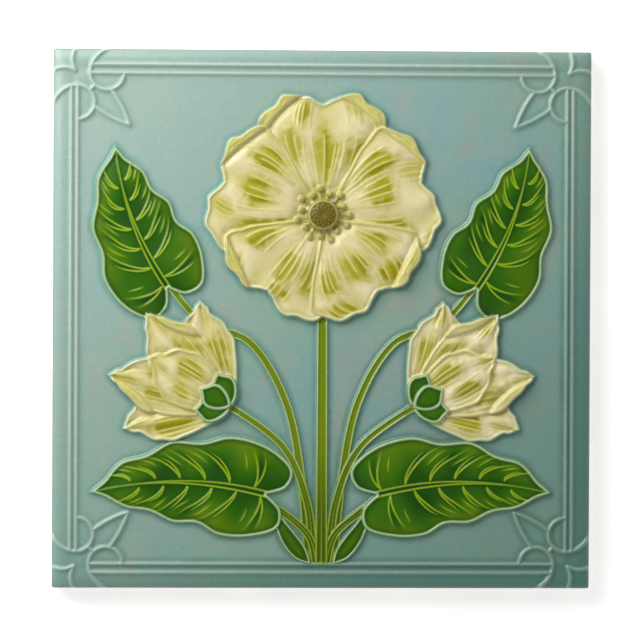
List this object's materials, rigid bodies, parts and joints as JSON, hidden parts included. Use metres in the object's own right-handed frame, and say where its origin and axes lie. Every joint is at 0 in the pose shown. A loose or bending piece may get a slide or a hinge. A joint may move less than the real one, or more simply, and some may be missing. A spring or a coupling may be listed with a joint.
{
  "type": "art nouveau tile",
  "caption": "Square moulded wall tile in majolica glazes, with a lined border, corner ornaments and a low relief of blossoms, leaves and stems, and a grooved back for bedding.",
  "frame": {"origin": "middle of the back, on the plane that the tile rests on", "axes": "+Z out of the glazed face, +Y towards the top of the picture, +X to the picture's right"},
  "size_m": [0.1524, 0.1524, 0.0109],
  "materials": {
    "turquoise_glaze": "gloss",
    "cream_glaze": "gloss",
    "green_glaze": "gloss",
    "biscuit": "matt"
  },
  "bodies": {
    "root": {"tile": "turquoise_glaze"}
  },
  "joints": []
}
